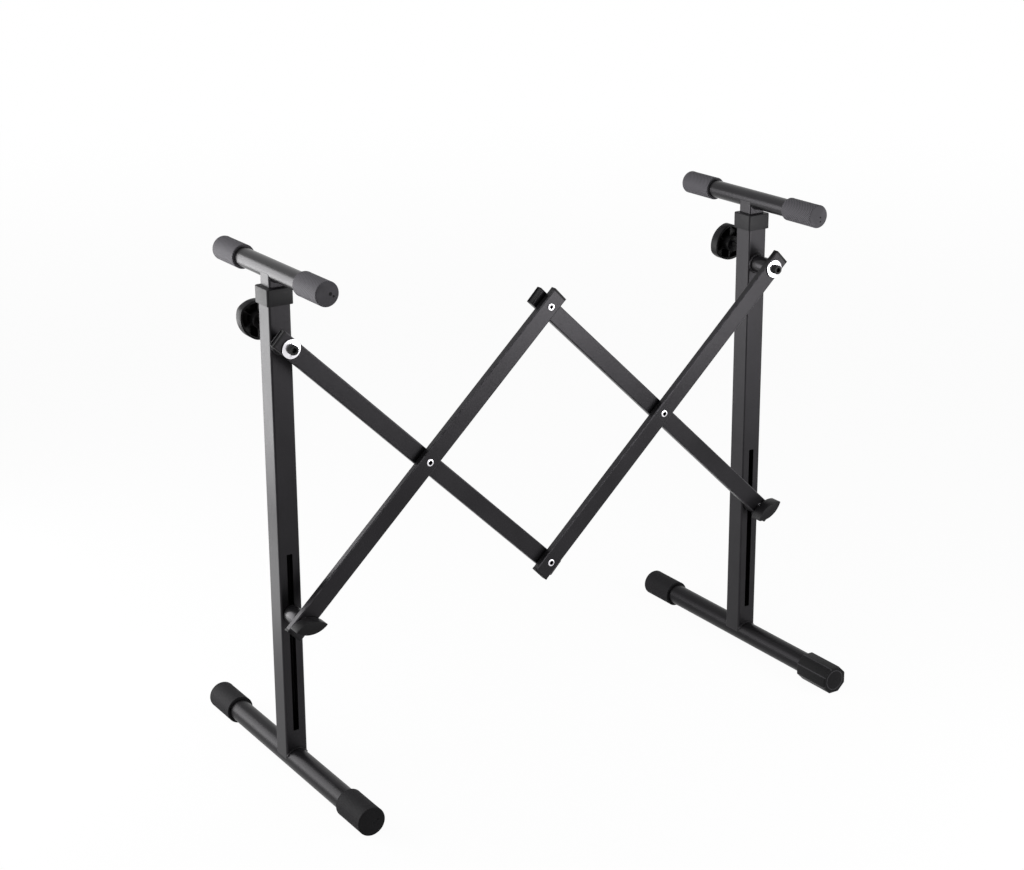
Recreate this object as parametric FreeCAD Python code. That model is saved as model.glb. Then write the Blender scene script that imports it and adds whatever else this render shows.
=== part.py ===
import FreeCAD, Part
import math
import os

# Folding keyboard stand: two side frames joined by a double scissor of flat bars.
# Frame: X along the keyboard, -Y towards the player, Z up, floor at Z = 0. Millimetres.

# ---- Scissor linkage ----
spread = 750.0                  # between the two column centre lines, as it stands
bar_pitch = 260.0               # end pivot to middle rivet on every bar
angle_widest = 33.35            # bar slope with the stand pulled right out, degrees
angle_folded = 85.35            # bar slope with the stand folded flat, degrees
bar_width = 25.0
bar_thickness = 10.0
bar_wall = 1.2
bar_corner = 1.8
bar_end = 19.0                  # steel beyond an end pivot
layer_standoff = 16.0           # column face to the back layer of bars
plug_head = 3.0                 # plastic end plug outside the bar
plug_spigot = 10.0              # plastic end plug inside the bar
plug_clearance = 0.1
rivet_radius = 4.0
rivet_head_radius = 5.0
rivet_head_height = 1.5
rivet_hollow_radius = 2.2
rivet_hollow_depth = 5.0
spacer_radius = 10.0            # washer between the two layers of bars
spacer_thickness = 1.0
spacer_play = 0.1               # free play on each face of that washer

# ---- Side frame ----
base_tube_radius = 15.0
base_tube_wall = 1.5
base_half_length = 217.5        # to the outer face of the end caps
base_cap_wall = 4.0
base_cap_length = 60.0
cap_end_wall = 3.0
cap_edge = 1.2                  # rounding of the caps' rims
column_side = 30.0
column_wall = 1.5
column_corner = 2.5
cope_margin = 2.0               # a coped tube end stops short of the cross tube's axis
slider_rise = 33.0              # lowest slider position above the base tube
column_head = 67.5              # column above the upper pivot
slot_clearance = 0.1            # each side of the slider bolt
slot_end_gap = 3.0              # slot beyond the slider bolt at both ends of its travel
slot_corner = 1.0

# ---- Levelling foot: an octagon turned about an off-centre bore ----
foot_sides = 8
foot_offset = 2.0
foot_clearance = 0.05
foot_edge = 0.8

# ---- Telescopic mast and keyboard rest ----
mast_side = 25.0
mast_wall = 1.5
mast_corner = 2.5
guide_clearance = 0.2           # plastic guide inside the column
guide_block = 14.0
guide_spigot = 12.0
guide_gap = 10.0                # guide above the top of the slot
rest_tube_radius = 12.5
rest_tube_wall = 1.5
rest_half_length = 143.0        # to the outer face of the end caps
rest_cap_wall = 3.5
rest_cap_length = 60.0
rest_gap = 7.0                  # between the collar and the rest tube
collar_wall = 3.0
collar_skirt = 18.0             # collar below the column's top
collar_lip = 4.0                # collar above the column's top
collar_clearance = 0.2          # each side of the mast
collar_corner = 3.0
collar_edge = 1.0

# ---- Upper pivots ----
boss_radius = 12.0
screw_radius = 4.0
screw_clearance = 0.05          # radial, where a bar turns on its screw or rivet
screw_head_radius = 6.5
screw_head_height = 8.0
screw_socket = 6.0              # across flats
screw_socket_depth = 4.5
screw_short = 3.0               # screw stops this far from the column
washer_radius = 12.5
washer_thickness = 2.0
face_play = 0.3                 # between faces that turn or slide past each other

# ---- Slider bolts and wing knobs ----
slide_plate_width = 22.0
slide_plate_height = 20.0
slide_plate_thickness = 4.0
slide_plate_corner = 2.0
knob_washer_radius = 8.0
knob_washer_thickness = 1.5
wing_half_length = 22.5
wing_half_height = 8.5
wing_depth = 18.5
wing_edge = 1.2
wing_cover = 4.5                # closed front of the wing knob over the bolt
wing_tilt = {"left": 2.0, "right": 30.0}

# ---- Mast clamp knobs behind the columns ----
clamp_rise = 18.0               # clamp stud above the upper pivot
lobe_count = 3
lobe_reach = 27.0               # knob centre to lobe tip
lobe_radius = 12.0
lobe_waist = 24.5               # knob centre to the middle of a side
lobe_direction = {"left": 148.0, "right": 208.0}
knob_standoff = 31.0            # column to the knob's open rim
knob_depth = 14.0
knob_skin = 3.0
knob_edge = 1.5
knob_hub_radius = 11.0
knob_hub_depth = 22.0
knob_rib = 2.0
stud_radius = 4.0
stud_cover = 4.0                # closed end of the hub over the stud
nut_flats = 13.0
nut_height = 6.5
hexagon = 6                     # sides of the nuts and of the screws' sockets

# ---- Places worked out from the sizes above ----
bar_angle = math.degrees(math.acos(spread / (4 * bar_pitch)))
base_cap_radius = base_tube_radius + base_cap_wall
base_axis_z = base_cap_radius
slider_lowest_z = base_axis_z + base_tube_radius + slider_rise
upper_z = slider_lowest_z + 2 * bar_pitch * math.sin(math.radians(angle_folded))
middle_z = upper_z - bar_pitch * math.sin(math.radians(bar_angle))
lower_z = 2 * middle_z - upper_z
slider_highest_z = upper_z - 2 * bar_pitch * math.sin(math.radians(angle_widest))
slot_bottom_z = slider_lowest_z - screw_radius - slot_end_gap
slot_top_z = slider_highest_z + screw_radius + slot_end_gap
column_top_z = upper_z + column_head
clamp_z = upper_z + clamp_rise
collar_top_z = column_top_z + collar_lip
rest_axis_z = collar_top_z + rest_gap + rest_tube_radius
rest_cap_radius = rest_tube_radius + rest_cap_wall
guide_bottom_z = max(slot_top_z, slider_highest_z + slide_plate_height / 2) + guide_gap
mast_bottom_z = guide_bottom_z + guide_block
column_face = column_side / 2
column_bore = column_side - 2 * column_wall

# Each layer of bars as the Y of its rear and front faces, the back layer next to the columns.
back_layer = (-column_face - layer_standoff, -column_face - layer_standoff - bar_thickness)
front_rear = back_layer[1] - spacer_thickness - 2 * spacer_play
front_layer = (front_rear, front_rear - bar_thickness)

# Each side: name, X of its column, layer of the bar on its upper pivot, layer on its slider.
sides = [("left", -spread / 2, back_layer, front_layer),
         ("right", spread / 2, front_layer, back_layer)]

UP = FreeCAD.Vector(0, 0, 1)
BACKWARD = FreeCAD.Vector(0, 1, 0)
ORIGIN = FreeCAD.Vector(0, 0, 0)
ALONG_X = FreeCAD.Vector(1, 0, 0)
SAME_PLACE = 0.001              # points closer than this count as one


def save(name, solids):
    """Write one node, a single solid or a group of like solids."""
    shape = Part.makeCompound(solids) if isinstance(solids, list) else solids
    shape.exportStep("parts/" + name + ".step")


def rod(radius, y_from, y_to, x, z):
    """Round bar along Y."""
    low = min(y_from, y_to)
    return Part.makeCylinder(radius, abs(y_to - y_from), FreeCAD.Vector(x, low, z), BACKWARD)


def ring(outer, inner, y_from, y_to, x, z):
    """Round sleeve along Y."""
    return rod(outer, y_from, y_to, x, z).cut(rod(inner, y_from, y_to, x, z))


def edges_along(shape, direction):
    """Straight edges of a box that run along a direction."""
    found = []
    for edge in shape.Edges:
        ends = edge.Vertexes[1].Point - edge.Vertexes[0].Point
        if ends.cross(direction).Length < SAME_PLACE:
            found.append(edge)
    return found


def block(x_span, y_span, z_span, corner, direction):
    """Box between pairs of limits, its corners rounded about a direction."""
    size = [span[1] - span[0] for span in (x_span, y_span, z_span)]
    box = Part.makeBox(*size, FreeCAD.Vector(x_span[0], y_span[0], z_span[0]))
    return box.makeFillet(corner, edges_along(box, direction))


def post(side_length, corner, x, z_from, z_to):
    """Square upright centred on a column line."""
    half = side_length / 2
    return block((x - half, x + half), (-half, half), (z_from, z_to), corner, UP)


def polygon_rod(flats, sides_count, y_from, y_to, x, z, first_flat):
    """Prism along Y with the given size across flats; first_flat is one flat's direction."""
    corner_radius = flats / 2 / math.cos(math.pi / sides_count)
    points = []
    for step in range(sides_count + 1):
        turn = math.radians(first_flat) + (2 * step + 1) * math.pi / sides_count
        points.append(FreeCAD.Vector(x + corner_radius * math.cos(turn), min(y_from, y_to),
                                     z + corner_radius * math.sin(turn)))
    face = Part.Face(Part.makePolygon(points))
    return face.extrude(FreeCAD.Vector(0, abs(y_to - y_from), 0))


def rim_edges(shape, y):
    """Edges of the outer rim of a piece turned about Y, at one of its end faces."""
    at_end = [edge for edge in shape.Edges
              if max(abs(edge.BoundBox.YMin - y), abs(edge.BoundBox.YMax - y)) < SAME_PLACE]
    widest = max(edge.BoundBox.DiagonalLength for edge in at_end)
    return [edge for edge in at_end if edge.BoundBox.DiagonalLength > widest - SAME_PLACE]


def tube_cap(outer, bore, length, y_end, x, z):
    """Rubber cap closed at y_end, pushed over a tube that lies along Y."""
    inward = -1 if y_end > 0 else 1
    mouth = y_end + inward * length
    solid = rod(outer, y_end, mouth, x, z)
    solid = solid.makeFillet(cap_edge, rim_edges(solid, y_end) + rim_edges(solid, mouth))
    return solid.cut(rod(bore, y_end + inward * cap_end_wall, mouth, x, z))


def levelling_foot(x):
    """Octagonal front foot: its bore is off centre, so turning it raises or lowers the corner."""
    mouth = base_cap_length - base_half_length
    bore_end = cap_end_wall - face_play - base_half_length
    solid = polygon_rod(2 * base_cap_radius, foot_sides, -base_half_length, mouth,
                        x - foot_offset, base_axis_z, -90)
    ends = [edge for edge in solid.Edges if edge.BoundBox.YLength < SAME_PLACE]
    solid = solid.makeChamfer(foot_edge, ends)
    return solid.cut(rod(base_tube_radius + foot_clearance, bore_end, mouth, x, base_axis_z))


def column(x):
    """Slotted square tube, coped over the base tube."""
    bottom = base_axis_z + cope_margin
    solid = post(column_side, column_corner, x, bottom, column_top_z)
    solid = solid.cut(post(column_bore, column_corner - column_wall, x, bottom, column_top_z))
    solid = solid.cut(rod(base_tube_radius, -column_side, column_side, x, base_axis_z))
    half = screw_radius + slot_clearance
    slot = block((x - half, x + half), (-column_side, 0), (slot_bottom_z, slot_top_z),
                 slot_corner, BACKWARD)
    solid = solid.cut(slot)
    return solid.cut(rod(stud_radius + screw_clearance, 0, column_side, x, clamp_z))


def collar(x):
    """Plastic collar on the column's top that steadies the mast."""
    outer = column_side + 2 * collar_wall
    bottom = column_top_z - collar_skirt
    solid = post(outer, collar_corner, x, bottom, collar_top_z)
    top_edges = [edge for edge in solid.Edges if edge.BoundBox.ZMin > collar_top_z - SAME_PLACE]
    solid = solid.makeChamfer(collar_edge, top_edges)
    solid = solid.cut(post(column_side, column_corner, x, bottom, column_top_z))
    return solid.cut(post(mast_side + 2 * collar_clearance, mast_corner + collar_clearance, x,
                          bottom, collar_top_z))


def mast(x):
    """Square inner tube, coped under the rest tube."""
    top = rest_axis_z - cope_margin
    solid = post(mast_side, mast_corner, x, mast_bottom_z, top)
    solid = solid.cut(post(mast_side - 2 * mast_wall, mast_corner - mast_wall, x, mast_bottom_z, top))
    return solid.cut(rod(rest_tube_radius, -mast_side, mast_side, x, rest_axis_z))


def mast_guide(x):
    """Plastic block that keeps the mast's lower end central in the column."""
    outer = column_bore - 2 * guide_clearance
    solid = post(outer, column_corner - column_wall, x, guide_bottom_z, mast_bottom_z)
    spigot = post(mast_side - 2 * mast_wall, mast_corner - mast_wall, x, mast_bottom_z,
                  mast_bottom_z + guide_spigot)
    return solid.fuse(spigot).removeSplitter()


def scissor_bar(x_end, z_end, slope, layer):
    """Flat tube from its first end pivot, rising at a slope, with its two end plugs."""
    rear, front = layer
    length = 2 * bar_pitch
    half = bar_width / 2
    span = (-bar_end, length + bar_end)
    tube = block(span, (front, rear), (-half, half), bar_corner, ALONG_X)
    bore = block(span, (front + bar_wall, rear - bar_wall), (-half + bar_wall, half - bar_wall),
                 bar_corner - bar_wall, ALONG_X)
    tube = tube.cut(bore)
    for pivot in (0, bar_pitch, length):
        tube = tube.cut(rod(screw_radius + screw_clearance, front, rear, pivot, 0))
    plugs = [end_plug(layer, span[0], -1), end_plug(layer, span[1], 1)]
    for solid in [tube] + plugs:
        solid.rotate(ORIGIN, BACKWARD, -slope)
        solid.translate(FreeCAD.Vector(x_end, 0, z_end))
    return tube, plugs


def end_plug(layer, x, outward):
    """Plastic plug in the end of a bar that lies along X."""
    rear, front = layer
    half = bar_width / 2
    skin = bar_wall + plug_clearance
    head = block(sorted((x, x + outward * plug_head)), (front, rear), (-half, half),
                 bar_corner, ALONG_X)
    spigot = block(sorted((x - outward * plug_spigot, x)), (front + skin, rear - skin),
                   (-half + skin, half - skin), bar_corner - bar_wall, ALONG_X)
    return head.fuse(spigot).removeSplitter()


def rivet(x, z):
    """Semi-tubular rivet through both layers, rolled over at the front."""
    rear_face = back_layer[0] + spacer_play
    front_face = front_layer[1] - spacer_play
    front_end = front_face - rivet_head_height
    shank = rod(rivet_radius, rear_face, front_face, x, z)
    rear_head = rod(rivet_head_radius, rear_face, rear_face + rivet_head_height, x, z)
    front_head = rod(rivet_head_radius, front_end, front_face, x, z)
    solid = shank.fuse([rear_head, front_head]).removeSplitter()
    return solid.cut(rod(rivet_hollow_radius, front_end, front_end + rivet_hollow_depth, x, z))


def spacer_washer(x, z):
    """Thin washer between the two layers of bars."""
    rear = back_layer[1] - spacer_play
    return ring(spacer_radius, rivet_radius, rear, rear - spacer_thickness, x, z)


def pivot_pieces(x, layer):
    """Welded boss, washer and socket screw of an upper pivot."""
    rear, front = layer
    boss = ring(boss_radius, screw_radius, -column_face, rear + face_play, x, upper_z)
    washer_rear = front - face_play
    head_rear = washer_rear - washer_thickness
    washer = ring(washer_radius, screw_radius, washer_rear, head_rear, x, upper_z)
    head_front = head_rear - screw_head_height
    shank = rod(screw_radius, head_rear, -column_face - screw_short, x, upper_z)
    head = rod(screw_head_radius, head_rear, head_front, x, upper_z)
    socket = polygon_rod(screw_socket, hexagon, head_front, head_front + screw_socket_depth,
                         x, upper_z, 0)
    screw = shank.fuse(head).removeSplitter().cut(socket)
    return boss, washer, screw


def slider_pieces(x, layer):
    """Slider bolt with its plate inside the column, bush and washer."""
    rear, front = layer
    plate_front = -column_bore / 2 + face_play
    plate_rear = plate_front + slide_plate_thickness
    half_x = slide_plate_width / 2
    half_z = slide_plate_height / 2
    plate = block((x - half_x, x + half_x), (plate_front, plate_rear),
                  (lower_z - half_z, lower_z + half_z), slide_plate_corner, BACKWARD)
    washer_rear = front - face_play
    washer_front = washer_rear - knob_washer_thickness
    knob_rear = washer_front - face_play
    tip = knob_rear - wing_depth + wing_cover + face_play
    bolt = plate.fuse(rod(screw_radius, plate_front, tip, x, lower_z)).removeSplitter()
    bush = ring(boss_radius, screw_radius, -column_face - face_play, rear + face_play, x, lower_z)
    washer = ring(knob_washer_radius, screw_radius, washer_rear, washer_front, x, lower_z)
    return bolt, bush, washer, knob_rear


def wing_knob(x, knob_rear, tilt):
    """Lens-shaped wing knob screwed on the slider bolt."""
    front = knob_rear - wing_depth
    left = FreeCAD.Vector(-wing_half_length, front, 0)
    right = FreeCAD.Vector(wing_half_length, front, 0)
    top = Part.Arc(left, FreeCAD.Vector(0, front, wing_half_height), right).toShape()
    bottom = Part.Arc(right, FreeCAD.Vector(0, front, -wing_half_height), left).toShape()
    solid = Part.Face(Part.Wire([top, bottom])).extrude(FreeCAD.Vector(0, wing_depth, 0))
    solid = solid.makeFillet(wing_edge, edges_along(solid, BACKWARD))
    solid = solid.cut(rod(screw_radius + screw_clearance, knob_rear, front + wing_cover, 0, 0))
    solid.rotate(ORIGIN, BACKWARD, -tilt)
    solid.translate(FreeCAD.Vector(x, 0, lower_z))
    return solid


def lobed_outline(reach, tip_radius, waist, y):
    """Rounded triangle: small arcs at the lobes, tangent to large arcs along the sides."""
    tip_centre = reach - tip_radius
    inset = waist - tip_radius
    side_shift = (tip_centre ** 2 - inset ** 2) / (2 * inset - tip_centre)
    side_radius = side_shift + waist
    edges = []
    pitch = 2 * math.pi / lobe_count
    for lobe in range(lobe_count):
        to_lobe = lobe * pitch
        to_side = to_lobe + pitch / 2
        before = tangent_point(tip_centre, tip_radius, side_shift, to_lobe, to_side - pitch, y)
        after = tangent_point(tip_centre, tip_radius, side_shift, to_lobe, to_side, y)
        following = tangent_point(tip_centre, tip_radius, side_shift, to_lobe + pitch, to_side, y)
        crest = polar(side_radius - side_shift, to_side, y)
        edges.append(Part.Arc(before, polar(reach, to_lobe, y), after).toShape())
        edges.append(Part.Arc(after, crest, following).toShape())
    return Part.Wire(edges)


def polar(radius, turn, y):
    """Point in the XZ plane at a distance and turn from the Y axis."""
    return FreeCAD.Vector(radius * math.cos(turn), y, radius * math.sin(turn))


def tangent_point(tip_centre, tip_radius, side_shift, to_lobe, to_side, y):
    """Where a lobe's arc meets the side arc, in line with both arc centres."""
    tip = polar(tip_centre, to_lobe, y)
    side = polar(-side_shift, to_side, y)
    outward = tip - side
    outward.normalize()
    return tip + outward * tip_radius


def lobed_prism(shrink, y_from, y_to):
    """Solid of the knob's outline, drawn in by a wall thickness."""
    wire = lobed_outline(lobe_reach - shrink, lobe_radius - shrink, lobe_waist - shrink, y_from)
    return Part.Face(wire).extrude(FreeCAD.Vector(0, y_to - y_from, 0))


def clamp_knob(x, direction):
    """Three-lobed knob, open and ribbed on the side that faces the column."""
    rim = column_face + knob_standoff
    back = rim + knob_depth
    hub_front = back - knob_hub_depth
    solid = lobed_prism(0, rim, back)
    back_edges = [edge for edge in solid.Edges if edge.BoundBox.YMin > back - SAME_PLACE]
    solid = solid.makeFillet(knob_edge, back_edges)
    solid = solid.cut(lobed_prism(knob_skin, rim, back - knob_skin))
    inside = lobed_prism(knob_skin / 2, rim, back - knob_skin / 2)
    half_rib = knob_rib / 2
    rib_front = rim + knob_edge
    for lobe in range(lobe_count):
        rib = Part.makeBox(2 * lobe_reach, back - rib_front, knob_rib,
                           FreeCAD.Vector(-lobe_reach, rib_front, -half_rib))
        rib.rotate(ORIGIN, BACKWARD, -180 * lobe / lobe_count)
        solid = solid.fuse(rib.common(inside))
    solid = solid.fuse(rod(knob_hub_radius, hub_front, back - knob_skin / 2, 0, 0))
    solid = solid.cut(rod(stud_radius, hub_front, back - stud_cover, 0, 0)).removeSplitter()
    solid.rotate(ORIGIN, BACKWARD, -direction)
    solid.translate(FreeCAD.Vector(x, 0, clamp_z))
    return solid


def clamp_stud(x):
    """Threaded stud whose tip presses on the mast."""
    back = column_face + knob_standoff + knob_depth - stud_cover
    return rod(stud_radius, mast_side / 2 + face_play, back, x, clamp_z)


def clamp_nut(x):
    """Hexagon nut welded behind the column."""
    end = column_face + nut_height
    nut = polygon_rod(nut_flats, hexagon, column_face, end, x, clamp_z, 0)
    return nut.cut(rod(stud_radius + screw_clearance, column_face, end, x, clamp_z))


def tube_along_y(radius, wall, half_length, x, z):
    """Round tube that ends inside its two caps."""
    end = half_length - cap_end_wall
    return ring(radius, radius - wall, -end, end, x, z)


os.makedirs("parts", exist_ok=True)

# Side frames, masts, clamp knobs and sliders.
for side, x, pivot_layer, slide_layer in sides:
    save("base_tube_" + side, tube_along_y(base_tube_radius, base_tube_wall, base_half_length,
                                           x, base_axis_z))
    save("base_cap_rear_" + side, tube_cap(base_cap_radius, base_tube_radius, base_cap_length,
                                           base_half_length, x, base_axis_z))
    save("column_" + side, column(x))
    save("collar_" + side, collar(x))
    boss, washer, screw = pivot_pieces(x, pivot_layer)
    save("pivot_boss_" + side, boss)
    save("pivot_washer_" + side, washer)
    save("pivot_screw_" + side, screw)
    save("clamp_nut_" + side, clamp_nut(x))
    save("clamp_stud_" + side, clamp_stud(x))
    save("clamp_knob_" + side, clamp_knob(x, lobe_direction[side]))
    save("mast_" + side, mast(x))
    save("mast_guide_" + side, mast_guide(x))
    save("rest_tube_" + side, tube_along_y(rest_tube_radius, rest_tube_wall, rest_half_length,
                                           x, rest_axis_z))
    save("rest_cap_front_" + side, tube_cap(rest_cap_radius, rest_tube_radius, rest_cap_length,
                                            -rest_half_length, x, rest_axis_z))
    save("rest_cap_rear_" + side, tube_cap(rest_cap_radius, rest_tube_radius, rest_cap_length,
                                           rest_half_length, x, rest_axis_z))
    bolt, bush, knob_washer, knob_rear = slider_pieces(x, slide_layer)
    save("slide_bolt_" + side, bolt)
    save("slide_bush_" + side, bush)
    save("knob_washer_" + side, knob_washer)
    save("wing_knob_" + side, wing_knob(x, knob_rear, wing_tilt[side]))

left_x = sides[0][1]
right_x = sides[1][1]
save("base_cap_front_left", tube_cap(base_cap_radius, base_tube_radius, base_cap_length,
                                     -base_half_length, left_x, base_axis_z))
save("levelling_foot", levelling_foot(right_x))

# Scissor bars: name, first end pivot, slope and layer.
bars = [("left_back", left_x, upper_z, -bar_angle, back_layer),
        ("left_front", left_x, lower_z, bar_angle, front_layer),
        ("right_back", 0, upper_z, -bar_angle, back_layer),
        ("right_front", 0, lower_z, bar_angle, front_layer)]
for name, x_end, z_end, slope, layer in bars:
    tube, plugs = scissor_bar(x_end, z_end, slope, layer)
    save("scissor_bar_" + name, tube)
    save("end_plugs_" + name, plugs)

# Riveted joints between the two layers.
joints = [("left", left_x / 2, middle_z), ("right", right_x / 2, middle_z),
          ("top", 0, upper_z), ("bottom", 0, lower_z)]
for name, x, z in joints:
    save("rivet_" + name, rivet(x, z))
    save("spacer_washer_" + name, spacer_washer(x, z))
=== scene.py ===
import math

import bmesh
import bpy
from mathutils import Matrix, Vector


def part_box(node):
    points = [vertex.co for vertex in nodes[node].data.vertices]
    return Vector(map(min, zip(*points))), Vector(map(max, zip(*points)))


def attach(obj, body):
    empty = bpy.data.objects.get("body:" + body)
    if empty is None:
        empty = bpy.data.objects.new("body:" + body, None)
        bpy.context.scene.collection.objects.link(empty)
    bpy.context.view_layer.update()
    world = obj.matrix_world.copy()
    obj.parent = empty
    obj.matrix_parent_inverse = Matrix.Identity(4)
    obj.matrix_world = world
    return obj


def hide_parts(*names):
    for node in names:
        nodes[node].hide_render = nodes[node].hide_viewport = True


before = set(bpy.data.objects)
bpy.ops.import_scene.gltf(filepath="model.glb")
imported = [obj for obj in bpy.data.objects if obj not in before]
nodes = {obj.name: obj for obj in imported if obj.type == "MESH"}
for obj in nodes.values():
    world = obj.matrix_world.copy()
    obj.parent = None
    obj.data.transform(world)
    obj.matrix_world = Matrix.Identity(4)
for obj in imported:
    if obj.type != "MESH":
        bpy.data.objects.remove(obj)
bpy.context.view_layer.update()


# ---- Tubes, columns, masts and scissor bars ----
# Round, square and flat steel tube, cut and coped, welded where it doesn't turn and powder
# coated satin black. The coat has a faint orange peel and a few dusty places, and its
# corners and long edges are painted lighter in patches as a highlight.

class Signal:
    """The output of one node in a material. Arithmetic on it adds Math nodes."""

    def __init__(self, tree, socket):
        self.tree = tree
        self.socket = socket

    def node(self, kind, inputs=None, settings=None, output=0):
        """Adds a node of any type: its settings first, then its sockets' values or links."""
        made = self.tree.nodes.new("ShaderNode" + kind)
        for name, value in (settings or {}).items():
            setattr(made, name, value)
        for name, value in (inputs or {}).items():
            if isinstance(value, Signal):
                self.tree.links.new(value.socket, made.inputs[name])
            else:
                made.inputs[name].default_value = value
        return Signal(self.tree, made.outputs[output])

    def maths(self, operation, first, second=0.0):
        return self.node("Math", {0: first, 1: second}, {"operation": operation})

    def __add__(self, other):
        return self.maths("ADD", self, other)

    def __radd__(self, other):
        return self.maths("ADD", other, self)

    def __sub__(self, other):
        return self.maths("SUBTRACT", self, other)

    def __rsub__(self, other):
        return self.maths("SUBTRACT", other, self)

    def __mul__(self, other):
        return self.maths("MULTIPLY", self, other)

    def __rmul__(self, other):
        return self.maths("MULTIPLY", other, self)

    def __abs__(self):
        return self.maths("ABSOLUTE", self)


def start_material(name):
    """An empty material, its Object coordinates and its shader."""
    material = bpy.data.materials.new(name)
    material.use_nodes = True
    tree = material.node_tree
    place = Signal(tree, tree.nodes.new("ShaderNodeTexCoord").outputs["Object"])
    return material, place, tree.nodes["Principled BSDF"]


def feed(shader, values):
    """Sets or links the shader's own sockets."""
    for name, value in values.items():
        if isinstance(value, Signal):
            value.tree.links.new(value.socket, shader.inputs[name])
        else:
            shader.inputs[name].default_value = value


def parts_of(place):
    """The X, Y and Z of a position."""
    split = place.node("SeparateXYZ", {"Vector": place}).socket.node
    return [Signal(place.tree, part) for part in split.outputs]


def noise(place, scale, detail=2.0, stretch=(1.0, 1.0, 1.0)):
    """Noise from 0 to 1, with features of about 1 / scale metres, drawn out along an axis."""
    spread = place.node("Mapping", {"Vector": place, "Scale": stretch})
    return place.node("TexNoise", {"Vector": spread, "Scale": scale, "Detail": detail})


def between(value, low, high):
    """A smooth step of a value from 0 at one limit to 1 at the other."""
    return value.node("MapRange", {"Value": value, "From Min": low, "From Max": high,
                                   "To Min": 0.0, "To Max": 1.0},
                      {"interpolation_type": "SMOOTHSTEP"})


def blend_colours(mask, first, second):
    return mask.node("Mix", {0: mask, 6: first, 7: second}, {"data_type": "RGBA"}, 2)


def bump(height, distance):
    """Normal of a height from 0 to 1 that stands for a distance in metres."""
    return height.node("Bump", {"Height": height, "Distance": distance, "Strength": 1.0})


def grey(level):
    """Neutral grey with the faint violet cast of the stand's blacks."""
    return (level * 1.02, level * 0.98, level * 1.08, 1.0)


def powder_coat(name, gloss_index, edge=None, streaks=None):
    """Satin black powder coat with finely drawn streaks, painted lighter in patches where edge is
    1 as a highlight.
    """
    peel_depth = 0.00006
    dust_share = 0.15
    highlight_share = 0.6
    violet_gloss = (0.97, 0.93, 1.0, 1.0)
    material, place, shader = start_material(name)
    peel = noise(place, 1100.0, 1.0)
    cloud = noise(place, 14.0, 4.0)
    dust = between(noise(place, 2600.0), 0.68, 0.76)
    rough = 0.24 + 0.12 * cloud
    height = peel
    if streaks:
        drawn = noise(place, 900.0, 2.0, streaks)
        rough = rough + 0.10 * drawn
        height = peel * 0.6 + drawn * 0.4
    clean = blend_colours(between(cloud, 0.3, 0.7), grey(0.006), grey(0.010))
    colour = blend_colours(dust * dust_share, clean, grey(0.10))
    if edge:
        # Painted highlight: lighter patches of colour along the corners and edges, where light
        # catches them.
        painted_highlight = edge(place) * between(noise(place, 160.0, 4.0), 0.30, 0.65)
        colour = blend_colours(painted_highlight * highlight_share, colour, grey(0.085))
    feed(shader, {"Base Color": colour, "Roughness": rough, "IOR": gloss_index,
                  "Specular Tint": violet_gloss, "Normal": bump(height, peel_depth)})
    return material


# How far both columns' middles are from the stand's middle.
column_x = 0.375


def column_corner(place):
    """1 along the four rounded corners of both columns, where their coat is painted lighter as a
    highlight.
    """
    flat_end = 0.0141
    corner = flat_end + 0.0008
    x, y, _ = parts_of(place)
    return between(abs(abs(x) - column_x), flat_end, corner) * between(abs(y), flat_end, corner)


def bar_edge(pivot, direction):
    """A function that gives 1 along the two long edges of one scissor bar, where its coat is
    painted lighter as a highlight.
    """
    half_width = 0.0125

    def edge_lit(place):
        x, _, z = parts_of(place)
        off = abs((z - pivot.z) * math.cos(direction) - (x - pivot.x) * math.sin(direction))
        narrow_face = between(off, half_width - 0.0004, half_width - 0.0001)
        return between(off, half_width - 0.0014, half_width - 0.0009) * (1.0 - narrow_face)
    return edge_lit


def dress(node, material):
    """Gives a CAD node its finish."""
    slots = nodes[node].data.materials
    slots.clear()
    slots.append(material)


def centre(node):
    low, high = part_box(node)
    return (low + high) / 2


along_y = (1.0, 0.02, 1.0)
along_z = (1.0, 1.0, 0.02)
coat = powder_coat("black_powder_coat", gloss_index=1.31)
base_coat = powder_coat("black_powder_coat_base", gloss_index=1.18, streaks=along_y)
column_coat = powder_coat("black_powder_coat_columns", gloss_index=1.29, edge=column_corner,
                          streaks=along_z)
sides = ("left", "right")
for side in sides:
    for part in ("rest_tube", "mast"):
        dress(f"{part}_{side}", coat)
    dress(f"base_tube_{side}", base_coat)
    dress(f"column_{side}", column_coat)
bars = {"left_back": ("pivot_screw_left", "rivet_bottom"),
        "left_front": ("slide_bolt_left", "rivet_top"),
        "right_back": ("rivet_top", "slide_bolt_right"),
        "right_front": ("rivet_bottom", "pivot_screw_right")}
for bar, (here, there) in bars.items():
    run = centre(there) - centre(here)
    lit_edge = bar_edge(centre(here), math.atan2(run.z, run.x))
    dress(f"scissor_bar_{bar}",
          powder_coat(f"black_powder_coat_bar_{bar}", gloss_index=1.28, edge=lit_edge))


# ---- Pivot bosses and slider bushes ----
# Turned steel sleeves that hold the bars off the columns, powder coated. The bosses are
# welded on at the bars' upper ends; the bushes slide with the bars' lower ends.

def sharp_edges(shape, degrees):
    """The edges where two faces meet at more than an angle."""
    limit = math.radians(degrees)
    return [edge for edge in shape.edges
            if len(edge.link_faces) == 2 and edge.calc_face_angle() > limit]


def round_edges(shape, edges, width, segments):
    bmesh.ops.bevel(shape, geom=edges, offset=width, offset_type="OFFSET", segments=segments,
                    profile=0.5, affect="EDGES", clamp_overlap=True, material=-1)


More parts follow.
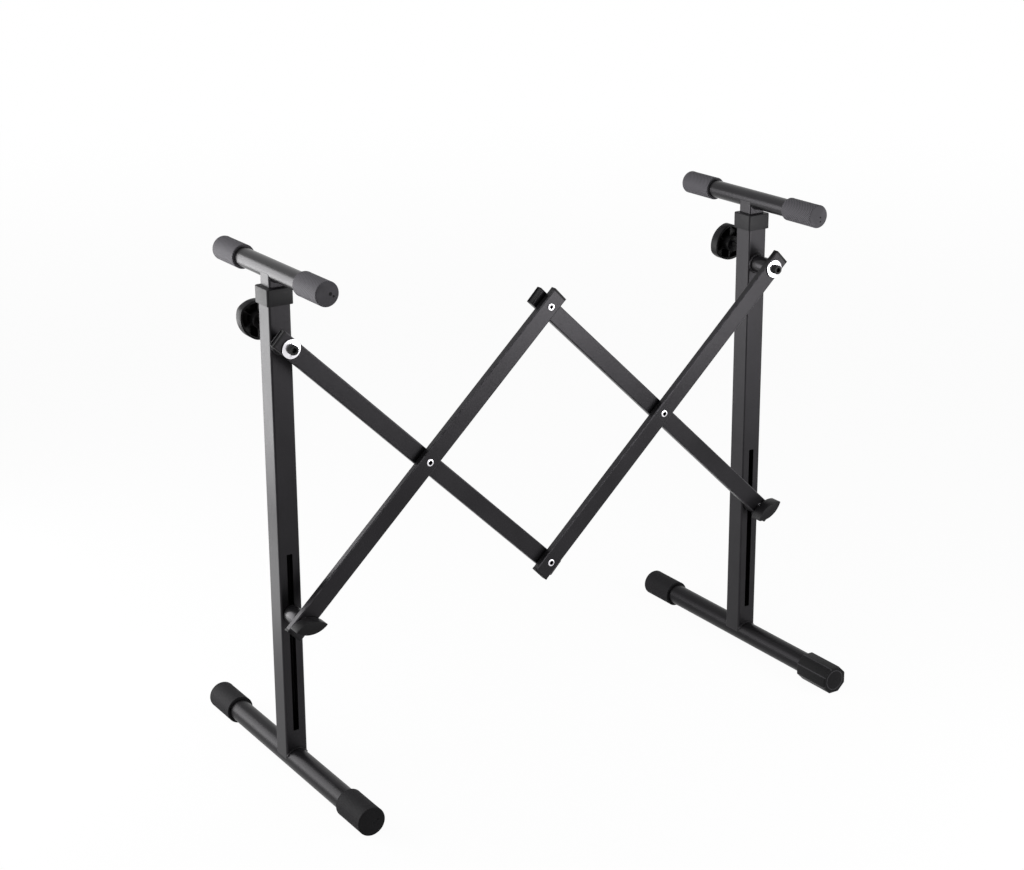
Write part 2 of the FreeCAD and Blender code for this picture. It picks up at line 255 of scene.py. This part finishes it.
def soften(node, width, segments=2):
    """A copy of a CAD node with its loose triangles joined and its sharp edges rounded."""
    same_place = 0.000002
    flat_angle = math.radians(0.5)
    sharp_degrees = 28.0
    shape = bmesh.new()
    shape.from_mesh(nodes[node].data)
    bmesh.ops.remove_doubles(shape, verts=shape.verts, dist=same_place)
    bmesh.ops.dissolve_limit(shape, angle_limit=flat_angle, verts=shape.verts,
                             edges=shape.edges)
    round_edges(shape, sharp_edges(shape, sharp_degrees), width, segments)
    return shape


def hang(shape, name, body, material, replaced, sharp_degrees=35.0):
    """Turns a bmesh into a piece that rides on a body and stands for CAD nodes."""
    bmesh.ops.recalc_face_normals(shape, faces=shape.faces)
    mesh = bpy.data.meshes.new(name)
    shape.to_mesh(mesh)
    shape.free()
    mesh.shade_smooth()
    mesh.set_sharp_from_angle(angle=math.radians(sharp_degrees))
    mesh.materials.append(material)
    piece = bpy.data.objects.new(name, mesh)
    bpy.context.scene.collection.objects.link(piece)
    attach(piece, body)
    if replaced:
        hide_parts(*replaced)


for side in sides:
    for node, body in ((f"pivot_boss_{side}", f"{side}_frame"),
                       (f"slide_bush_{side}", f"{side}_slider")):
        hang(soften(node, width=0.0006), f"{node}_turned", body, coat, [node])


# ---- Weld beads ----
# Fillet welds where a column stands on its base tube, a mast meets its rest tube and a
# boss meets its column. Each is a rippled bead, coated with the frame.

def bead(name, points, radius, body):
    """Weld bead along points, its ripples a slow swell of the bead's radius."""
    swell = 0.16
    points_in_ripple = 4
    same_place = 0.000001
    line = bpy.data.curves.new(name, "CURVE")
    line.dimensions = "3D"
    line.bevel_depth = radius
    line.bevel_resolution = 3
    line.use_fill_caps = True
    spline = line.splines.new("POLY")
    spline.points.add(len(points) - 1)
    for index, (target, point) in enumerate(zip(spline.points, points)):
        target.co = (*point, 1.0)
        target.radius = 1.0 + swell * math.cos(math.tau * index / points_in_ripple)
    source = bpy.data.objects.new(name, line)
    mesh = bpy.data.meshes.new_from_object(source)
    bpy.data.objects.remove(source)
    shape = bmesh.new()
    shape.from_mesh(mesh)
    bmesh.ops.remove_doubles(shape, verts=shape.verts, dist=same_place)
    hang(shape, name, body, coat, [], sharp_degrees=60.0)


def saddle(square, tube, y, up):
    """Arch where a square tube's face at y meets the round tube that it is coped over."""
    steps = 96
    corner = 0.0015
    low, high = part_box(square)
    tube_low, tube_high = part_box(tube)
    tube_radius = (tube_high.z - tube_low.z) / 2
    reach = (high.x - low.x) / 2 - corner
    middle_x = centre(square).x
    axis_z = centre(tube).z
    points = []
    for step in range(steps + 1):
        across = reach * (2 * step / steps - 1)
        rise = math.sqrt(tube_radius ** 2 - across ** 2)
        points.append((middle_x + across, y, axis_z + up * rise))
    return points


def ring(node, outside, inside_end):
    """Circle round the rear end of a boss, a little outside its wall and short of its end."""
    steps = 64
    middle = centre(node)
    low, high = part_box(node)
    radius = (high.x - low.x) / 2 + outside
    angles = [math.tau * step / steps for step in range(steps + 1)]
    return [(middle.x + radius * math.cos(angle), high.y - inside_end,
             middle.z + radius * math.sin(angle)) for angle in angles]


column_bead = 0.0018
mast_bead = 0.0013
boss_bead = 0.0019
for side in sides:
    for square, tube, body, up, radius in (
            (f"column_{side}", f"base_tube_{side}", f"{side}_frame", 1, column_bead),
            (f"mast_{side}", f"rest_tube_{side}", f"{side}_mast", -1, mast_bead)):
        low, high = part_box(square)
        for end, y in (("front", low.y), ("rear", high.y)):
            bead(f"weld_{square}_{end}", saddle(square, tube, y, up), radius, body)
    around_boss = ring(f"pivot_boss_{side}", outside=0.0004, inside_end=0.0006)
    bead(f"weld_boss_{side}", around_boss, boss_bead, f"{side}_frame")


# ---- Rubber caps of the base tubes and of the keyboard rests ----
# Moulded rubber caps pushed over the tubes' ends. Their sides have a fine crossed knurl
# that grips the keyboard and the floor, painted darker in its pits as shade and lighter on its
# ridges; the end discs are plain, with a gate mark and a vent painted near black as shade.

def angle_about(across, rise):
    """Angle of a point about an axis along Y."""
    return across.maths("ARCTAN2", rise, across)


def distance_from(across, rise):
    """Distance of a point from an axis along Y."""
    return across.maths("POWER", across * across + rise * rise, 0.5)


def cap_rubber(name, axis_z, radius, end_y, ridges, tone, gloss_index, end_marks):
    """Grey rubber, painted dark in the pits of the knurl as shade and lighter on its ridges, with
    marks (x, z, size) in the end discs painted near black as shade.
    """
    relief = 0.0005
    flat_share = 0.55
    material, place, shader = start_material(name)
    x, y, z = parts_of(place)
    across = abs(x) - column_x
    rise = z - axis_z
    turn = angle_about(across, rise) * ridges
    along = y * (ridges / radius)
    knurl = between(place.maths("SINE", turn + along) + place.maths("SINE", turn - along),
                    -1.4, 0.6)
    on_side = between(distance_from(across, rise), radius - 0.0012, radius - 0.0004)
    on_end = between(abs(y), end_y - 0.0008, end_y - 0.0003)
    grain = noise(place, 1800.0)
    handled = between(noise(place, 55.0, 3.0), 0.42, 0.70)
    # Painted shade: the gate mark and the vent are coloured near black, standing in for the shade
    # in their dents.
    shaded_marks = 0.0
    for mark_x, mark_z, size in end_marks:
        off = distance_from(x - mark_x, rise - mark_z)
        shaded_marks = shaded_marks + (1.0 - between(off, flat_share * size, size))
    shaded_marks = shaded_marks * on_end
    end_disc = blend_colours(handled, grey(tone * 0.72), grey(tone * 0.92))
    # Painted shade and light: the knurl's pits are coloured far darker and its ridges lighter.
    knurl_painted_shade = blend_colours(knurl, grey(tone * 0.2), grey(tone * 1.5))
    rubber = blend_colours(on_side, end_disc, knurl_painted_shade)
    feed(shader, {"Base Color": blend_colours(shaded_marks, rubber, grey(0.001)),
                  "Roughness": 0.62 + 0.16 * grain, "IOR": gloss_index,
                  "Normal": bump(grain * 0.2 - shaded_marks, relief)})
    return material


def turned(node, rings, closed=False):
    """Turned form about a node's axis along Y: each ring is (y, radius, sides)."""
    axis = centre(node)
    facing_y = Matrix.Rotation(math.radians(90.0), 4, "X")
    shape = bmesh.new()
    loops = []
    for y, radius, count in rings:
        at = Matrix.Translation((axis.x, y, axis.z)) @ facing_y
        made = bmesh.ops.create_circle(shape, segments=count, radius=radius, matrix=at)
        loops.append(list({edge for vert in made["verts"] for edge in vert.link_edges}))
    following = loops[1:] + loops[:1] if closed else loops[1:]
    for first, second in zip(loops, following):
        bmesh.ops.bridge_loops(shape, edges=first + second)
    if not closed:
        for loop in (loops[0], loops[-1]):
            bmesh.ops.contextual_create(shape, geom=loop)
    return shape


def quarter_round(face_y, wall_radius, size, inward, count, steps=5):
    """Rings of a rounded rim, from the end face to the wall; inward is the body's side in Y."""
    rings = []
    for step in range(steps + 1):
        turn = math.radians(90.0) * step / steps
        rings.append((face_y + inward * size * (1 - math.cos(turn)),
                      wall_radius - size * (1 - math.sin(turn)), count))
    return rings


def press(shape, axis, radius, start, stop, depth_at):
    """Presses a pattern into a turned form's wall; depth_at takes the angle and Y."""
    on_wall = 0.000001
    for vert in shape.verts:
        across = abs(vert.co.x) - abs(axis.x)
        rise = vert.co.z - axis.z
        if start < vert.co.y < stop and abs(math.hypot(across, rise) - radius) < on_wall:
            share = 1.0 - depth_at(math.atan2(rise, across), vert.co.y) / radius
            vert.co.x = axis.x + (vert.co.x - axis.x) * share
            vert.co.z = axis.z + rise * share


def rubber_cap(node, tube, body, material, ridges):
    """Cup over the end of a tube: rounded end rim, knurled side, rounded mouth and bore."""
    count = 4 * ridges
    end_wall = 0.003
    end_rim = 0.0022
    mouth_rim = 0.0012
    bore_rim = 0.0004
    bore_clearance = 0.00005
    plain = 0.0008
    knurl_depth = 0.00035
    low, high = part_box(node)
    tube_low, tube_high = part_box(tube)
    radius = (high.x - low.x) / 2
    bore = (tube_high.x - tube_low.x) / 2 + bore_clearance
    end, mouth = (high.y, low.y) if centre(node).y > 0 else (low.y, high.y)
    inward = 1 if mouth > end else -1
    row = math.tau * radius / count
    start, stop = sorted((end + inward * (end_rim + plain), mouth - inward * (mouth_rim + plain)))
    rows = [row * index for index in range(math.ceil(start / row), math.floor(stop / row) + 1)]
    rings = quarter_round(end, radius, end_rim, inward, count)
    rings += [(y, radius, count) for y in rows[::inward]]
    rings += quarter_round(mouth, radius, mouth_rim, -inward, count)[::-1]
    rings += [(mouth, bore + bore_rim, count), (mouth - inward * bore_rim, bore, count),
              (end + inward * end_wall, bore, count)]

    def crossed_knurl(angle, y):
        ridge = math.sin(ridges * angle) * math.cos(y * ridges / radius)
        return knurl_depth * 0.5 * (1.0 - ridge)

    shape = turned(node, rings)
    press(shape, centre(node), radius, start - plain / 2, stop + plain / 2, crossed_knurl)
    hang(shape, f"{node}_rubber", body, material, [node])


base_ridges = 40
rest_ridges = 30
base_rubber = cap_rubber("base_cap_rubber", centre("base_tube_left").z, radius=0.019,
                         end_y=0.2175, ridges=base_ridges, tone=0.009, gloss_index=1.18,
                         end_marks=((-0.3672, 0.0019, 0.0016), (-0.3726, -0.0015, 0.0014)))
rest_rubber = cap_rubber("rest_cap_rubber", centre("rest_tube_left").z, radius=0.016,
                         end_y=0.143, ridges=rest_ridges, tone=0.076, gloss_index=1.26,
                         end_marks=((-0.3712, 0.0, 0.0027), (-0.3669, -0.0035, 0.0017),
                                    (0.3784, -0.0013, 0.0015), (0.3784, -0.0072, 0.0014)))
for side in sides:
    for end in ("front", "rear"):
        rubber_cap(f"rest_cap_{end}_{side}", f"rest_tube_{side}", f"{side}_mast", rest_rubber,
                   rest_ridges)
        if (side, end) != ("right", "front"):
            rubber_cap(f"base_cap_{end}_{side}", f"base_tube_{side}", f"{side}_frame",
                       base_rubber, base_ridges)


# ---- Levelling foot ----
# Octagonal rubber foot at the front right. Its bore is off centre, so a turn of it lifts or
# lowers that corner until the stand no longer rocks.

def foot_rubber(name, axis, corners):
    """Black rubber, painted lighter along the edges of its facets and round a raised end ring as a
    highlight.
    """
    ring_radius = 0.0140
    relief = 0.0004
    material, place, shader = start_material(name)
    grain = noise(place, 1500.0)
    drawn = noise(place, 1300.0, 2.0, (1.0, 0.03, 1.0))
    x, _, z = parts_of(place)
    across = x - axis.x
    rise = z - axis.z
    distance = distance_from(across, rise)
    facet = place.maths("COSINE", angle_about(across, rise) * corners)
    edges = between(facet, -0.90, -0.985) * between(distance, 0.0172, 0.0182)
    end_ring = 1.0 - between(abs(distance - ring_radius), 0.0004, 0.0009)
    # Painted highlight: the facet edges and the end ring are coloured lighter where light catches
    # them.
    painted_highlight = place.maths("MAXIMUM", edges, end_ring) * between(grain, 0.25, 0.55)
    feed(shader, {"Base Color": blend_colours(painted_highlight, grey(0.005), grey(0.035)),
                  "Roughness": 0.40 + 0.15 * drawn, "IOR": 1.18,
                  "Normal": bump(grain * 0.15 + drawn * 0.25 + end_ring * 0.6, relief)})
    return material


facet_rubber = foot_rubber("foot_rubber", centre("levelling_foot"), corners=8)
hang(soften("levelling_foot", width=0.0010, segments=3), "levelling_foot_rubber",
     "levelling_foot", facet_rubber, ["levelling_foot"])


# ---- Collars, bar plugs and mast guides ----
# Moulded plastic: a matt black collar that steadies each mast in its column, a plug in each
# end of each bar, and a natural nylon guide on each mast's hidden end.

def moulded(name, tone, rough, gloss_index, grain_scale, grain_depth):
    """Moulded plastic with a spark-eroded grain."""
    material, place, shader = start_material(name)
    grain = noise(place, grain_scale)
    cloud = noise(place, 40.0, 3.0)
    colour = blend_colours(between(cloud, 0.35, 0.65), grey(tone), grey(tone * 1.2))
    feed(shader, {"Base Color": colour, "Roughness": rough + 0.10 * cloud, "IOR": gloss_index,
                  "Normal": bump(grain, grain_depth)})
    return material


collar_plastic = moulded("collar_plastic", tone=0.013, rough=0.32, gloss_index=1.21,
                         grain_scale=1400.0, grain_depth=0.00008)
plug_plastic = moulded("plug_plastic", tone=0.007, rough=0.38, gloss_index=1.21,
                       grain_scale=1600.0, grain_depth=0.00010)
guide_nylon = moulded("guide_nylon", tone=0.62, rough=0.45, gloss_index=1.5,
                      grain_scale=1200.0, grain_depth=0.00005)
for side in sides:
    collar = f"collar_{side}"
    hang(soften(collar, width=0.0005, segments=3), f"{collar}_moulded", f"{side}_frame",
         collar_plastic, [collar])
    dress(f"mast_guide_{side}", guide_nylon)


def bar_plug(pivot, direction, layer):
    """Plug in one end of a bar: head with rounded corners and a sunk panel, and its spigot."""
    bar_end = 0.019
    head = 0.003
    width = 0.025
    corner = 0.0015
    rim = 0.0018
    panel_depth = 0.0012
    wall = 0.0016
    spigot_length = 0.010
    soft_edge = 0.0003
    shape = bmesh.new()
    bmesh.ops.create_cube(shape, size=1.0)
    bmesh.ops.scale(shape, vec=(head, layer[1] - layer[0], width), verts=shape.verts)
    bmesh.ops.translate(shape, vec=(bar_end + head / 2, (layer[0] + layer[1]) / 2, 0.0),
                        verts=shape.verts)
    lengthwise = [edge for edge in shape.edges
                  if abs(edge.verts[0].co.x - edge.verts[1].co.x) > head / 2]
    round_edges(shape, lengthwise, corner, 4)
    outer = max(shape.faces, key=lambda face: face.calc_center_median().x)
    inner = min(shape.faces, key=lambda face: face.calc_center_median().x)
    for face, border, depth in ((inner, wall, spigot_length), (outer, rim, panel_depth)):
        bmesh.ops.inset_individual(shape, faces=[face], thickness=border)
        pushed = bmesh.ops.extrude_discrete_faces(shape, faces=[face])["faces"]
        bmesh.ops.translate(shape, vec=(-depth, 0.0, 0.0), verts=pushed[0].verts)
    round_edges(shape, sharp_edges(shape, 60.0), soft_edge, 2)
    turn = Matrix.Rotation(-direction, 4, "Y")
    bmesh.ops.transform(shape, matrix=Matrix.Translation(pivot) @ turn, verts=shape.verts)
    return shape


def add_form(shape, form):
    """Adds one bmesh to another and frees it."""
    carrier = bpy.data.meshes.new("carrier")
    form.to_mesh(carrier)
    form.free()
    shape.from_mesh(carrier)
    bpy.data.meshes.remove(carrier)


for bar, pivots in bars.items():
    low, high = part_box(f"scissor_bar_{bar}")
    ends = [centre(node) for node in pivots]
    shape = bmesh.new()
    for here, there in (ends, ends[::-1]):
        direction = math.atan2(here.z - there.z, here.x - there.x)
        add_form(shape, bar_plug((here.x, 0.0, here.z), direction, (low.y, high.y)))
    hang(shape, f"end_plugs_{bar}_moulded", f"bar_{bar}", plug_plastic,
         [f"end_plugs_{bar}"])


# ---- Rivets and washers ----
# Bright plated steel: semi-tubular rivets at the crossings, plain washers under the screws
# and wing knobs, and thin washers between the bars.

def plated(name, tone):
    """Bright zinc plate with fine scratches."""
    scratch_depth = 0.000003
    material, place, shader = start_material(name)
    mottle = noise(place, 260.0, 3.0)
    scratches = noise(place, 1500.0, 2.0, (1.0, 1.0, 0.08))
    feed(shader, {"Base Color": blend_colours(mottle, (tone, tone, tone, 1.0), grey(tone * 0.85)),
                  "Metallic": 1.0, "Roughness": 0.18 + 0.12 * mottle,
                  "Normal": bump(scratches, scratch_depth)})
    return material


zinc = plated("bright_zinc", 0.86)
bolt_radius = 0.004


def washer(node, body, edge):
    """Flat washer with its edges rounded."""
    count = 96
    low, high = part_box(node)
    radius = (high.x - low.x) / 2
    rings = quarter_round(low.y, radius, edge, 1, count, steps=3)
    rings += quarter_round(high.y, radius, edge, -1, count, steps=3)[::-1]
    rings += [(high.y, bolt_radius + edge, count), (high.y - edge, bolt_radius, count),
              (low.y + edge, bolt_radius, count), (low.y, bolt_radius + edge, count)]
    hang(turned(node, rings, closed=True), f"{node}_plated", body, zinc, [node])


def rivet(node, body):
    """Rivet with two rounded heads and a hollow (depth, radius) from its end to its mouth."""
    count = 64
    head = 0.0015
    front_rim = 0.0011
    rear_rim = 0.0012
    hollow = ((0.005, 0.0008), (0.0042, 0.0022), (0.0010, 0.0022), (0.0004, 0.0024),
              (0.0, 0.0030))
    low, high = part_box(node)
    head_radius = (high.x - low.x) / 2
    rings = [(low.y + depth, radius, count) for depth, radius in hollow]
    rings += quarter_round(low.y, head_radius, front_rim, 1, count, steps=4)
    rings += [(low.y + head, head_radius, count), (low.y + head, bolt_radius, count),
              (high.y - head, bolt_radius, count), (high.y - head, head_radius, count)]
    rings += quarter_round(high.y, head_radius, rear_rim, -1, count, steps=4)[::-1]
    hang(turned(node, rings), f"{node}_plated", body, zinc, [node])


for side in sides:
    washer(f"pivot_washer_{side}", f"{side}_frame", edge=0.0003)
    washer(f"knob_washer_{side}", f"{side}_slider", edge=0.0003)
rivet_bodies = {"left": "bar_left_back", "bottom": "bar_left_back", "top": "bar_left_front",
                "right": "bar_right_back"}
for name, body in rivet_bodies.items():
    washer(f"spacer_washer_{name}", body, edge=0.0002)
    rivet(f"rivet_{name}", body)


# ---- Pivot screws, clamp nuts, slider bolts and studs ----
# Steel in black oxide: socket head cap screws with a knurled head and a hexagon socket, the
# nuts welded behind the columns, the slider bolts and the clamp knobs' threaded studs.

def black_oxide(name, thread_z=None):
    """Black oxide, with a thread round an axis along Y at both columns where thread_z is given."""
    pitch = 0.00125
    material, place, shader = start_material(name)
    mottle = noise(place, 420.0, 3.0)
    height = mottle
    relief = 0.00003
    if thread_z:
        x, y, z = parts_of(place)
        angle = angle_about(abs(x) - column_x, z - thread_z)
        height = place.maths("SINE", angle + y * (math.tau / pitch)) * 0.5 + 0.5
        relief = 0.0004
    feed(shader, {"Base Color": blend_colours(mottle, grey(0.002), grey(0.005)), "IOR": 1.27,
                  "Roughness": 0.34 + 0.15 * mottle, "Normal": bump(height, relief)})
    return material


oxide = black_oxide("black_oxide")
threaded_oxide = black_oxide("black_oxide_threaded", centre("clamp_stud_left").z)


def cap_screw(node, body):
    """Socket head cap screw with a knurled head."""
    hexagon = 6
    head_height = 0.008
    chamfer = 0.0007
    rear_slope = 0.0010
    rear_chamfer = 0.0004
    socket_depth = 0.0045
    socket_chamfer = 0.0004
    socket_half_width = 0.003
    socket_corner = socket_half_width / math.cos(math.pi / hexagon)
    count = 96
    ridges = count / 3
    knurl_depth = 0.0006
    low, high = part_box(node)
    front = low.y
    rear = low.y + head_height
    radius = (high.x - low.x) / 2
    rings = [(front + socket_depth, socket_corner, hexagon),
             (front + socket_chamfer, socket_corner, hexagon),
             (front, socket_corner + socket_chamfer, hexagon),
             (front, radius - chamfer, count), (front + chamfer, radius, count),
             (rear - rear_slope, radius, count), (rear, radius - rear_chamfer, count),
             (rear, bolt_radius, count), (high.y, bolt_radius, count)]

    def straight_knurl(angle, y):
        return knurl_depth / 2 * (1.0 - math.cos(ridges * angle))

    shape = turned(node, rings)
    press(shape, centre(node), radius, front, rear, straight_knurl)
    hang(shape, f"{node}_black", body, oxide, [node], sharp_degrees=25.0)


for side in sides:
    cap_screw(f"pivot_screw_{side}", f"{side}_frame")
    nut = f"clamp_nut_{side}"
    hang(soften(nut, width=0.0004), f"{nut}_black", f"{side}_frame", oxide,
         [nut])
    dress(f"slide_bolt_{side}", oxide)
    dress(f"clamp_stud_{side}", threaded_oxide)


# ---- Wing knobs and clamp knobs ----
# Black moulded plastic. The lens-shaped wings clamp the sliders in their slots, and the
# three-lobed knobs behind the columns, hollow and ribbed towards the column, clamp the masts.

knob_plastic = moulded("knob_plastic", tone=0.006, rough=0.36, gloss_index=1.21,
                       grain_scale=1300.0, grain_depth=0.00010)
for side in sides:
    for knob, body, edge, segments in ((f"wing_knob_{side}", f"{side}_wing", 0.0012, 3),
                                       (f"clamp_knob_{side}", f"{side}_clamp", 0.0004, 2)):
        hang(soften(knob, edge, segments), f"{knob}_moulded", body,
             knob_plastic, [knob])


# ---- Floor, light and camera ----
# A white floor and surround that light the stand only dimly, two soft lights at the rear
# left, one of them low, one at the front right and one above. The camera is near the
# photographer's place, tilted down.

def shown(tree):
    """1 for the rays that show the surround: to the camera, in gloss and through glass."""
    path = tree.nodes.new("ShaderNodeLightPath")
    seen, glossy, through = [Signal(tree, path.outputs[name]) for name in
                             ("Is Camera Ray", "Is Glossy Ray", "Is Transmission Ray")]
    return seen.maths("MAXIMUM", seen.maths("MAXIMUM", seen, glossy), through)


def floor_white():
    """White floor: bright to the eye and in gloss, and still taking the stand's shadow."""
    near = 1.5
    far = 5.0
    near_white = 0.96
    material = bpy.data.materials.new("floor_white")
    material.use_nodes = True
    tree = material.node_tree
    visible = shown(tree)
    white = visible.node("Emission", {"Color": (1.0, 1.0, 1.0, 1.0), "Strength": 1.0})
    shaded = visible.node("BsdfDiffuse", {"Color": (0.82, 0.82, 0.82, 1.0)})
    place = visible.node("TexCoord", output="Object")
    from_middle = place.node("VectorMath", {0: place}, {"operation": "LENGTH"}, "Value")
    share = near_white + (1.0 - near_white) * between(from_middle, near, far)
    mixed = visible.node("MixShader", {0: visible * share, 1: shaded, 2: white})
    tree.links.new(mixed.socket, tree.nodes["Material Output"].inputs["Surface"])
    return material


floor_size = 60.0
floor_mesh = bpy.data.meshes.new("floor")
floor_shape = bmesh.new()
bmesh.ops.create_grid(floor_shape, x_segments=1, y_segments=1, size=floor_size / 2)
floor_shape.to_mesh(floor_mesh)
floor_shape.free()
floor_mesh.materials.append(floor_white())
floor = bpy.data.objects.new("floor", floor_mesh)
bpy.context.scene.collection.objects.link(floor)

world = bpy.data.worlds.new("white_surround")
world.use_nodes = True
fill = 0.14
feed(world.node_tree.nodes["Background"],
     {"Color": (1.0, 1.0, 1.0, 1.0),
      "Strength": fill + (1.0 - fill) * shown(world.node_tree)})
bpy.context.scene.world = world


def soft_light(name, place, target, width, height, brightness):
    """Rectangular soft light that faces a point. A brightness of 1 is as bright as white."""
    white_watts = 4.0
    data = bpy.data.lights.new(name, "AREA")
    data.shape = "RECTANGLE"
    data.size = width
    data.size_y = height
    data.energy = brightness * white_watts * width * height
    light = bpy.data.objects.new(name, data)
    light.location = place
    light.rotation_euler = (Vector(target) - Vector(place)).to_track_quat("-Z", "Y").to_euler()
    light.visible_camera = False
    bpy.context.scene.collection.objects.link(light)


soft_light("light_rear_left", (-1.10, 0.74, 0.48), (-0.3, 0.0, 0.42),
           width=1.3, height=0.96, brightness=4.75)
soft_light("light_low_left", (-0.66, 0.33, 0.08), (-0.375, 0.0, 0.08),
           width=0.5, height=0.16, brightness=1.45)
soft_light("light_front", (0.62, -1.00, 0.42), (0.05, 0.0, 0.5),
           width=0.84, height=0.42, brightness=7.0)
soft_light("light_above", (-0.9, -0.3, 2.3), (0.0, 0.0, 0.4),
           width=1.4, height=1.4, brightness=2.2)

# Fitted to the photograph with a small shift; the angles are in degrees.
frame_width = 1024
sensor_width = 36.0
focal_length_in_pixels = 2095.2
yaw = -32.458
tilt_down = 17.059
roll = -0.313
camera_data = bpy.data.cameras.new("camera")
camera_data.sensor_width = sensor_width
camera_data.lens = focal_length_in_pixels / frame_width * sensor_width
camera_data.shift_y = -0.05
camera = bpy.data.objects.new("camera", camera_data)
camera.matrix_world = (Matrix.Translation((-1.4700, -2.2668, 1.2956))
                       @ Matrix.Rotation(math.radians(yaw), 4, "Z")
                       @ Matrix.Rotation(math.radians(90.0 - tilt_down), 4, "X")
                       @ Matrix.Rotation(math.radians(roll), 4, "Z"))
bpy.context.scene.collection.objects.link(camera)
bpy.context.scene.camera = camera
bpy.context.scene.view_settings.view_transform = "Standard"
